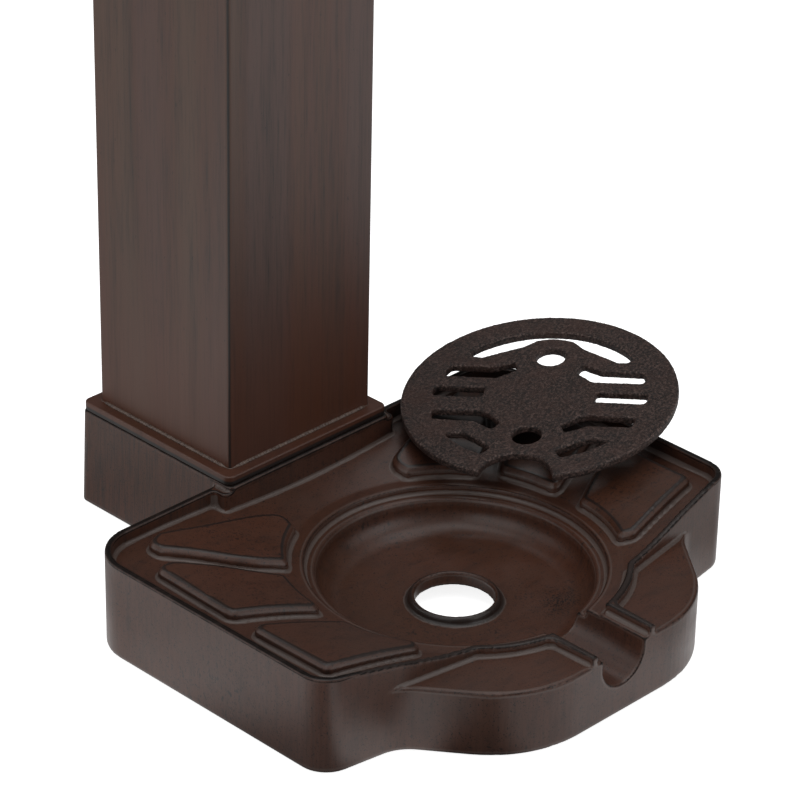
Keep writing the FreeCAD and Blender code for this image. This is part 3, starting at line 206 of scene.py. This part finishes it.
def cast_paint():
    """Satin dark brown paint on a fine casting: darker in the inner corners, with painted shadow under the grate, black
    and rubbed along the edges with painted highlight lines beside them, brushed on the walls.
    """
    n = Net("cast_paint")
    blot = n.noise(n.scaled(15, 15, 15), detail=4, rough=0.6)
    big = n.noise(n.scaled(5, 5, 5, at=(2, 5, 1)), detail=2, rough=0.5)
    fine = n.noise(n.scaled(520, 520, 520), detail=4, rough=0.65)
    tone = n.mix(n.ramp(blot, [(0.36, 0.0), (0.68, 1.0)]), BROWN, RED)
    tone = n.mix(n.ramp(big, [(0.42, 0.0), (0.7, 0.35)]), tone, MAUVE)
    # brushed strokes: upright on the walls, faint on level faces
    upright = n.range(n.maths("ABSOLUTE", n.normal_part("Z")), 0.25, 0.8, 1.0, 0.0)
    strokes = n.noise(n.scaled(230, 230, 16, turn=(0.12, -0.1, 0)), detail=4, rough=0.65)
    hair = n.noise(n.scaled(900, 900, 40, turn=(0.12, -0.1, 0)), detail=2, rough=0.5)
    s1 = n.maths("MULTIPLY", n.ramp(strokes, [(0.46, 0.0), (0.72, 0.15)]), n.range(upright, 0.0, 1.0, 0.4, 1.0, False))
    tone = n.mix(s1, tone, DARK)
    collar = n.range(n.part(n.coord, "Y"), -0.056, -0.048, 0.40, 1.0)
    s2 = n.maths("MULTIPLY", n.maths("MULTIPLY", n.ramp(hair, [(0.46, 0.0), (0.68, 0.62)]), upright), collar)
    tone = n.mix(s2, tone, DARK)
    # level faces: faint turned rubbing and small dark specks
    swirl = n.noise(n.scaled(70, 210, 60, turn=(0, 0, 0.35)), detail=4, rough=0.6)
    tone = n.mix(n.ramp(swirl, [(0.5, 0.0), (0.78, 0.4)]), tone, DARK)
    specks = n.noise(n.scaled(520, 520, 300), detail=3, rough=0.55)
    where = n.noise(n.scaled(24, 24, 24, at=(6.3, 4.1, 8.2)), detail=2)
    speck = n.maths("MULTIPLY", n.ramp(specks, [(0.58, 0.0), (0.66, 1.0)]), n.ramp(where, [(0.55, 0.0), (0.66, 0.85)]))
    tone = n.mix(speck, tone, (0.006, 0.005, 0.005))
    # the worn patch at the bowl's front right and its dots
    spot = n.scaled(1, 1, 1, at=(-0.036, 0.203, -0.0135))
    far = n.t.nodes.new("ShaderNodeVectorMath")
    far.operation = "LENGTH"
    n.link(spot, far.inputs[0])
    near = n.range(far.outputs["Value"], 0.001, 0.019, 1.0, 0.0)
    flake = n.noise(n.scaled(1150, 1150, 1150, at=(1, 2, 3)), detail=2, rough=0.5)
    tone = n.mix(n.ramp(n.maths("ADD", flake, n.maths("MULTIPLY", near, 0.12)), [(0.62, 0.0), (0.66, 0.95)]), tone, (0.005, 0.005, 0.005))
    # darker in the tight inner corners, painted shadow where the grate and walls hide the surface, black and a light
    # grey line along the edges, the grey partly bare paint and partly painted highlight
    height = n.part(n.coord, "Z")
    raised = n.range(height, 0.0385, 0.0402)
    tone = n.mix(hollow(n, 0.0045, 0.62, 0.30, 0.82), tone, (0.0075, 0.0055, 0.005))
    # painted shadow: darkens surfaces that the grate and nearby walls hide within 4.5 cm
    tone = n.mix(hollow(n, 0.045, 0.8, 0.20, 0.44, False), tone, (0.006, 0.0045, 0.004))
    chip = n.noise(n.scaled(160, 160, 160), detail=4, rough=0.7)
    crest = n.maths("MULTIPLY", n.ridge(0.523, 0.546), n.ramp(chip, [(0.36, 0.5), (0.54, 1.0)]))
    # light grey line just below the convex edges: partly rubbed bare paint, partly painted highlight
    shoulder_rub_and_highlight = n.maths("MULTIPLY", n.ridge(0.502, 0.509), n.ridge(0.524, 0.512))
    tone = n.mix(n.maths("MULTIPLY", shoulder_rub_and_highlight, n.range(raised, 0.0, 1.0, 0.42, 0.06, False)), tone, GREY)
    # the raised pads have a black line along their edge and a painted highlight line at their foot
    line = n.maths("MULTIPLY", n.ridge(0.5028, 0.5062), raised)
    line = n.maths("MULTIPLY", line, n.range(n.normal_part("Z"), 0.70, 0.86))
    tone = n.mix(n.maths("MULTIPLY", line, 0.82), tone, (0.0085, 0.0062, 0.0056))
    # painted highlight: light grey line along the concave foot of the raised pads
    foot = n.maths("MULTIPLY", n.ridge(0.4905, 0.4850), n.ridge(0.452, 0.464))
    tone = n.mix(n.maths("MULTIPLY", foot, 0.72), tone, GREY)
    # the raised ring round the drain hole keeps black paint on its side
    hub = n.t.nodes.new("ShaderNodeVectorMath")
    hub.operation = "LENGTH"
    n.link(n.scaled(1, 1, 0, at=(0, 0.1631, 0)), hub.inputs[0])
    side = n.maths("MULTIPLY", n.range(hub.outputs["Value"], 0.0210, 0.0222), n.range(hub.outputs["Value"], 0.0262, 0.0245))
    tone = n.mix(n.maths("MULTIPLY", side, 0.8), tone, (0.0085, 0.0062, 0.0056))
    at_lip = n.maths("MULTIPLY", n.range(height, 0.0513, 0.0518), n.range(n.part(n.coord, "Y"), -0.040, -0.046))
    crest = n.maths("MULTIPLY", crest, n.range(at_lip, 0.0, 1.0, 1.0, 0.30, False))
    rim = n.maths("MULTIPLY", n.maths("MULTIPLY", n.ridge(0.503, 0.508), n.ridge(0.540, 0.522)), at_lip)
    rim = n.maths("MULTIPLY", rim, n.ramp(chip, [(0.36, 0.5), (0.52, 0.95)]))
    crest = n.maths("MAXIMUM", crest, rim)
    lip = n.maths("MULTIPLY", n.range(height, 0.0519, 0.0525), n.ramp(chip, [(0.42, 0.08), (0.60, 0.50)]))
    lip = n.maths("MULTIPLY", lip, n.range(n.part(n.coord, "Y"), -0.040, -0.046))
    crest = n.maths("MAXIMUM", crest, lip)
    tone = n.mix(crest, tone, (0.0085, 0.0068, 0.0062))
    # darker along the inner corners of the mesh, where pointiness is below 0.46
    tone = n.mix(n.ridge(0.460, 0.44, 0.0, 0.7), tone, (0.0065, 0.005, 0.0045))
    gloss = n.range(crest, 0.0, 1.0, 0.46, 0.10, False)
    rough = n.ramp(n.noise(n.scaled(70, 70, 70), detail=4, rough=0.6), [(0.3, 0.31), (0.7, 0.42)])
    norm = n.bump(fine, 0.22, 0.00025)
    norm = n.bump(strokes, 0.08, 0.0006, norm)
    norm = n.bump(blot, 0.10, 0.0012, norm)
    return n.shade(tone, rough, norm, specular=gloss)


def post_paint(name="post_paint", edge_black=0.0009, black=0.85):
    """Dark brown paint brushed lengthways on sheet steel: long soft strokes of black, hairlines, black corners."""
    n = Net(name)
    long_ = n.noise(n.scaled(120, 120, 3.2), detail=5, rough=0.62, distort=0.15)
    wide = n.noise(n.scaled(30, 30, 1.3, at=(0.4, 0.9, 0)), detail=3, rough=0.5)
    hue = n.noise(n.scaled(22, 22, 1.0, at=(4, 2, 1)), detail=2, rough=0.5)
    hair = n.noise(n.scaled(620, 620, 26), detail=4, rough=0.7)
    dots = n.noise(n.scaled(700, 700, 260), detail=2, rough=0.5)
    tone = n.mix(n.ramp(wide, [(0.36, 0.0), (0.64, 1.0)]), BROWN, RED)
    tone = n.mix(n.ramp(hue, [(0.46, 0.0), (0.6, 0.55)]), tone, MAUVE)
    tone = n.mix(n.ramp(hue, [(0.40, 0.55), (0.5, 0.0)]), tone, OLIVE)
    tone = n.mix(n.ramp(long_, [(0.50, 0.0), (0.72, 0.48)]), tone, DARK)
    tone = n.mix(n.maths("MULTIPLY", n.ramp(hair, [(0.48, 0.0), (0.70, 0.9)]), n.ramp(long_, [(0.38, 0.3), (0.62, 1.0)])), tone, DARK)
    tone = n.mix(n.ramp(dots, [(0.69, 0.0), (0.74, 0.8)]), tone, (0.006, 0.005, 0.005))
    # redder brown towards the foot
    tone = n.mix(n.range(n.part(n.coord, "Z"), 0.17, 0.07, 0.0, 0.5), tone, (0.082, 0.026, 0.0125))
    edge = n.edge(edge_black, 0.01, 0.2)
    if name == "plate_paint":
        # black along the lower edge of its sides
        black_side = n.range(n.maths("ABSOLUTE", n.normal_part("Z")), 0.3, 0.8, 0.95, 0.0)
        lower = n.range(n.part(n.coord, "Z"), 0.0586, 0.0574)
        tone = n.mix(n.maths("MULTIPLY", black_side, lower), tone, (0.008, 0.007, 0.0065))
    tone = n.mix(n.maths("MULTIPLY", edge, black), tone, (0.008, 0.007, 0.0065))
    if name == "post_paint":
        least = n.maths("MINIMUM", n.maths("ABSOLUTE", n.part(n.coord, "X")), n.maths("ABSOLUTE", n.part(n.coord, "Y")))
        line = n.maths("MULTIPLY", n.range(least, 0.0485, 0.0492), n.ramp(hair, [(0.30, 0.6), (0.50, 0.95)]))
        tone = n.mix(line, tone, (0.007, 0.006, 0.0055))
    tone = n.mix(hollow(n, 0.003, 0.6, 0.3, 0.8), tone, (0.0075, 0.0055, 0.005))
    rough = n.ramp(long_, [(0.3, 0.36), (0.7, 0.46)])
    norm = n.bump(hair, 0.10, 0.0002)
    norm = n.bump(wide, 0.10, 0.0012, norm)
    return n.shade(tone, rough, norm, specular=0.46)


def weld_paint():
    n = Net("weld_paint")
    grain = n.noise(n.scaled(420, 420, 420), detail=3)
    tone = n.mix(n.ramp(grain, [(0.35, 0.0), (0.65, 1.0)]), (0.050, 0.026, 0.018), (0.115, 0.075, 0.058))
    tone = n.mix(hollow(n, 0.0015, 0.8, 0.3, 0.8), tone, (0.01, 0.007, 0.006))
    return n.shade(tone, n.ramp(grain, [(0.3, 0.30), (0.7, 0.44)]), n.bump(grain, 0.5, 0.0003))


def grate_paint():
    """Rough sand casting under dark paint: grainy, with bare grains along the rims."""
    n = Net("grate_paint")
    grain = n.noise(n.scaled(760, 760, 760), detail=5, rough=0.72)
    coarse = n.noise(n.scaled(260, 260, 260), detail=4, rough=0.65)
    lump = n.noise(n.scaled(46, 46, 46), detail=3, rough=0.6)
    tone = n.mix(n.ramp(grain, [(0.43, 0.0), (0.60, 1.0)]), (0.0095, 0.0066, 0.0058), (0.070, 0.040, 0.0325))
    tone = n.mix(n.ramp(lump, [(0.45, 0.0), (0.68, 0.55)]), tone, (0.055, 0.024, 0.017))
    tone = n.mix(n.ramp(coarse, [(0.52, 0.0), (0.72, 0.7)]), tone, (0.012, 0.009, 0.0085))
    tone = n.mix(hollow(n, 0.004, 0.8, 0.3, 0.85), tone, (0.008, 0.006, 0.0055))
    bare = n.maths("MULTIPLY", n.ridge(0.512, 0.54, 0.30, 1.0), n.ramp(grain, [(0.50, 0.0), (0.62, 0.85)]))
    tone = n.mix(bare, tone, (0.17, 0.122, 0.108))
    norm = n.bump(grain, 1.0, 0.0008)
    norm = n.bump(coarse, 0.7, 0.0012, norm)
    return n.shade(tone, n.ramp(grain, [(0.3, 0.40), (0.7, 0.62)]), norm, specular=0.36)


def metal(name, light, dark, rough_low, rough_high, stretch=(90, 90, 90), bump=0.05, metallic=1.0):
    n = Net(name)
    cloud = n.noise(n.scaled(*stretch), detail=4, rough=0.6)
    fine = n.noise(n.scaled(stretch[0] * 9, stretch[1] * 9, stretch[2] * 9), detail=3)
    tone = n.mix(n.ramp(cloud, [(0.3, 0.0), (0.7, 1.0)]), light, dark)
    edge = n.edge(0.0008, 0.02, 0.4)
    tone = n.mix(n.maths("MULTIPLY", edge, 0.3), tone, light)
    rough = n.ramp(cloud, [(0.3, rough_low), (0.75, rough_high)])
    return n.shade(tone, rough, n.bump(fine, bump, 0.0002), metal=metallic)


def plain(name, light, dark, rough_low, rough_high, scale=160, bump=0.2):
    n = Net(name)
    cloud = n.noise(n.scaled(scale, scale, scale), detail=4, rough=0.6)
    tone = n.mix(n.ramp(cloud, [(0.3, 0.0), (0.7, 1.0)]), light, dark)
    rough = n.ramp(cloud, [(0.3, rough_low), (0.75, rough_high)])
    return n.shade(tone, rough, n.bump(cloud, bump, 0.0003))


MAKE = {
    "cast_body": cast_paint(),
    "post_paint": post_paint(),
    "weld": weld_paint(),
    "grate_iron": grate_paint(),
    "brass": metal("brass", (0.72, 0.50, 0.21), (0.55, 0.36, 0.14), 0.16, 0.32),
    "zinc_steel": metal("zinc_steel", (0.62, 0.63, 0.65), (0.45, 0.46, 0.48), 0.28, 0.46),
    "stainless": metal("stainless", (0.66, 0.66, 0.67), (0.52, 0.52, 0.53), 0.2, 0.34),
    "copper_pipe": metal("copper_pipe", (0.80, 0.42, 0.28), (0.55, 0.27, 0.18), 0.22, 0.4, (60, 60, 8)),
    "rubber": plain("rubber", (0.018, 0.018, 0.018), (0.03, 0.03, 0.03), 0.6, 0.8),
    "packing": plain("packing", (0.82, 0.82, 0.79), (0.7, 0.7, 0.66), 0.5, 0.7),
    "index_cap": plain("index_cap", (0.02, 0.075, 0.28), (0.03, 0.1, 0.34), 0.22, 0.34, 240, 0.06),
}
for part in frame["record"]["subparts"]:
    o = nodes[part["node"]]
    o.data.materials.clear()
    o.data.materials.append(MAKE[part["material_slot"]])
nodes["foot_plate"].data.materials[0] = post_paint("plate_paint", 0.0016, 0.92)


# ---------------------------------------------------------------- shapes
def cast(name, voxel, rounds, lumps=(), thin=None):
    """Gives a CAD casting its rounded edges, and for sand casting its lumps, with modifiers on top of the CAD mesh."""
    o = nodes[name]
    m = o.modifiers.new("skin", "REMESH")
    m.mode = "VOXEL"
    m.voxel_size = voxel
    m.use_smooth_shade = True
    m = o.modifiers.new("soften", "SMOOTH")
    m.factor = 0.5
    m.iterations = rounds
    for k, (size, depth, kind) in enumerate(lumps):
        t = bpy.data.textures.new("%s_lumps_%d" % (name, k), kind)
        t.noise_scale = size
        if kind == "CLOUDS":
            t.noise_depth = 2
        m = o.modifiers.new("lumps_%d" % k, "DISPLACE")
        m.texture = t
        m.texture_coords = "LOCAL"
        m.strength = depth
        m.mid_level = 0.5
    if thin:
        m = o.modifiers.new("thin", "DECIMATE")
        m.ratio = thin
    return o


cast("base_casting", 0.0008, 3)
cast("drain_grate", 0.0006, 2, ((0.0012, 0.00038, "CLOUDS"), (0.006, 0.00022, "CLOUDS")))


def weld_bead():
    """The bead round the post's foot: small overlapping scales, laid along the four sides."""
    import bmesh
    low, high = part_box("foot_weld_bead")
    half = 0.050
    reach = high.x - half
    radius = min(reach, 0.0015)
    z0 = low.z
    corner = 0.0018
    path = []
    n_side = 380
    h = half
    sides = [((-h, -h), (1, 0), (0, -1)), ((h, -h), (0, 1), (1, 0)), ((h, h), (-1, 0), (0, 1)), ((-h, h), (0, -1), (-1, 0))]
    along = 0.0
    for (sx, sy), (dx, dy), (nx, ny) in sides:
        for k in range(n_side + 1):
            t = corner + (2 * h - 2 * corner) * k / n_side
            path.append((sx + dx * t, sy + dy * t, nx, ny, along + t))
        along += 2 * h
        # round the post's corner
        ex, ey = sx + dx * 2 * h, sy + dy * 2 * h
        cx, cy = ex - dx * corner - nx * corner, ey - dy * corner - ny * corner
        for j in range(1, 8):
            a = math.pi / 2 * j / 8
            vx, vy = nx * math.cos(a) + dx * math.sin(a), ny * math.cos(a) + dy * math.sin(a)
            path.append((cx + vx * corner, cy + vy * corner, vx, vy, along))
    me = bpy.data.meshes.new("weld_bead")
    bm = bmesh.new()
    rings = []
    steps = 9
    for x, y, nx, ny, s in path:
        lay = 0.0021
        f = (s / lay) % 1.0
        scale = math.sqrt(max(0.0, 1 - (f - 0.62) ** 2 / 0.62 ** 2))
        wob = 0.5 + 0.5 * math.sin(s * 611.0 + 1.7 * math.sin(s * 173.0))
        r = radius * (0.70 + 0.20 * scale + 0.10 * wob)
        # the bead runs out before the post's corners
        from_corner = half - min(abs(x), abs(y)) if max(abs(x), abs(y)) > half - corner else 0.0
        fill = min(1.0, max(0.0, (from_corner - 0.0025) / 0.0035))
        r *= 0.25 + 0.75 * fill * fill * (3 - 2 * fill)
        ring = [bm.verts.new((x - nx * 0.0002, y - ny * 0.0002, z0))]
        for k in range(steps):
            a = math.pi / 2 * k / (steps - 1)
            ring.append(bm.verts.new((x + nx * r * math.cos(a), y + ny * r * math.cos(a), z0 + r * math.sin(a))))
        rings.append(ring)
    m = len(rings)
    for i in range(m):
        a, b = rings[i], rings[(i + 1) % m]
        for k in range(len(a)):
            k2 = (k + 1) % len(a)
            bm.faces.new((a[k], b[k], b[k2], a[k2]))
    bmesh.ops.recalc_face_normals(bm, faces=bm.faces)
    for f in bm.faces:
        f.smooth = True
    bm.to_mesh(me)
    bm.free()
    o = bpy.data.objects.new("weld_bead", me)
    scene.collection.objects.link(o)
    me.materials.append(MAKE["weld"])
    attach(o, "root")
    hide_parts("foot_weld_bead")
    return o


weld_bead()


# ---------------------------------------------------------------- stage
def make_floor():
    import bmesh
    me = bpy.data.meshes.new("floor")
    bm = bmesh.new()
    s = 14.0
    vs = [bm.verts.new((x * s, y * s, -0.0005)) for x, y in ((-1, -1), (1, -1), (1, 1), (-1, 1))]
    bm.faces.new(vs)
    bm.to_mesh(me)
    bm.free()
    o = bpy.data.objects.new("floor", me)
    scene.collection.objects.link(o)
    n = Net("floor_white")
    lit = n.t.nodes.new("ShaderNodeBsdfDiffuse")
    lit.inputs["Color"].default_value = (0.8, 0.8, 0.8, 1)
    glow = n.t.nodes.new("ShaderNodeEmission")
    glow.inputs["Color"].default_value = (1, 1, 1, 1)
    glow.inputs["Strength"].default_value = 0.84
    seen = n.t.nodes.new("ShaderNodeAddShader")
    n.link(lit.outputs[0], seen.inputs[0])
    n.link(glow.outputs[0], seen.inputs[1])
    # what the object gets from the floor: soft bands of light on both sides, dimmer straight in front and beside the collar
    px, py = n.part(n.coord, "X"), n.part(n.coord, "Y")
    across, along = n.maths("SUBTRACT", px, py), n.maths("ADD", px, py)
    bands = n.ramp(n.range(across, -0.2, 1.0, 0.0, 1.0, False), [((v + 0.2) / 1.2, c * FLOOR_BRIGHT) for v, c in (
        (-0.20, 1.0), (-0.14, 0.80), (-0.07, 1.0), (-0.05, 1.0), (0.03, 0.25), (0.085, 0.22), (0.107, 1.15), (0.137, 1.1),
        (0.160, 0.08), (0.192, 0.08), (0.225, 0.75), (0.35, 1.0), (0.40, 0.5), (0.50, 0.65), (0.80, 1.0))], True)
    beside = n.maths("MULTIPLY", n.range(along, -0.22, -0.08), n.range(across, -0.34, -0.16))
    beside = n.maths("MULTIPLY", beside, n.range(across, 0.05, -0.05))
    level = n.maths("MULTIPLY", bands, n.range(beside, 0.0, 1.0, 1.0, 0.5, False))
    behind = n.maths("MULTIPLY", n.range(along, -0.07, 0.01), n.range(across, -0.16, -0.34))
    level = n.maths("MULTIPLY", level, n.range(behind, 0.0, 1.0, 1.06, 0.60, False))
    back_glow = n.t.nodes.new("ShaderNodeEmission")
    n.link(level, back_glow.inputs["Strength"])
    path = n.t.nodes.new("ShaderNodeLightPath")
    pick = n.t.nodes.new("ShaderNodeMixShader")
    n.link(path.outputs["Is Camera Ray"], pick.inputs[0])
    n.link(back_glow.outputs[0], pick.inputs[1])
    n.link(seen.outputs[0], pick.inputs[2])
    n.link(pick.outputs[0], n.out.inputs["Surface"])
    me.materials.append(n.mat)


FLOOR_BRIGHT = 1.0
make_floor()

world = bpy.data.worlds.new("studio")
scene.world = world
world.use_nodes = True
wt = world.node_tree
wt.nodes.clear()
w_out = wt.nodes.new("ShaderNodeOutputWorld")
w_bg = wt.nodes.new("ShaderNodeBackground")
w_path = wt.nodes.new("ShaderNodeLightPath")
w_mix = wt.nodes.new("ShaderNodeMix")
w_mix.data_type = "FLOAT"
w_mix.inputs[2].default_value = 0.12
w_mix.inputs[3].default_value = 1.0
wt.links.new(w_path.outputs["Is Camera Ray"], w_mix.inputs[0])
wt.links.new(w_mix.outputs[0], w_bg.inputs["Strength"])
w_bg.inputs["Color"].default_value = (1, 1, 1, 1)
wt.links.new(w_bg.outputs[0], w_out.inputs["Surface"])


def area(name, at, to, size, power, colour=(1, 1, 1)):
    l = bpy.data.lights.new(name, "AREA")
    l.shape = "RECTANGLE"
    l.size, l.size_y = size
    l.energy = power
    l.color = colour
    o = bpy.data.objects.new(name, l)
    scene.collection.objects.link(o)
    o.location = at
    o.rotation_euler = (Vector(at) - Vector(to)).to_track_quat("Z", "Y").to_euler()
    return o


area("top", (0.0, -0.1, 2.3), (0, -0.1, 0.0), (2.8, 2.8), 37)
area("left", (-2.3, -0.5, 1.3), (0, -0.1, 0.1), (2.2, 2.0), 16)
area("back_left", (-1.7, 1.8, 1.1), (0, -0.1, 0.1), (2.0, 1.6), 12)
area("front", (0.9, -2.4, 1.3), (0, -0.1, 0.1), (2.4, 1.8), 17)

# ---------------------------------------------------------------- camera, solved from the photograph
pitch, yaw, roll = math.radians(29.023), math.radians(-45.606), math.radians(1.193)
target, dist = Vector((0.14323, 0.018769, 0.0)), 2.090641
back = Vector((math.sin(yaw) * math.cos(pitch), -math.cos(yaw) * math.cos(pitch), math.sin(pitch)))
right = Vector((math.cos(yaw), math.sin(yaw), 0.0))
up = back.cross(right)
r2 = math.cos(roll) * right + math.sin(roll) * up
u2 = -math.sin(roll) * right + math.cos(roll) * up
cam = bpy.data.cameras.new("camera")
cam.sensor_width = 36.0
cam.lens = 3724.222 / 800.0 * 36.0
cam.clip_start, cam.clip_end = 0.05, 60.0
eye = bpy.data.objects.new("camera", cam)
scene.collection.objects.link(eye)
m = Matrix((r2, u2, back)).transposed().to_4x4()
m.translation = target + back * dist
eye.matrix_world = m
scene.camera = eye

scene.view_settings.view_transform = "Standard"
scene.view_settings.look = "None"
scene.view_settings.exposure = 0.0
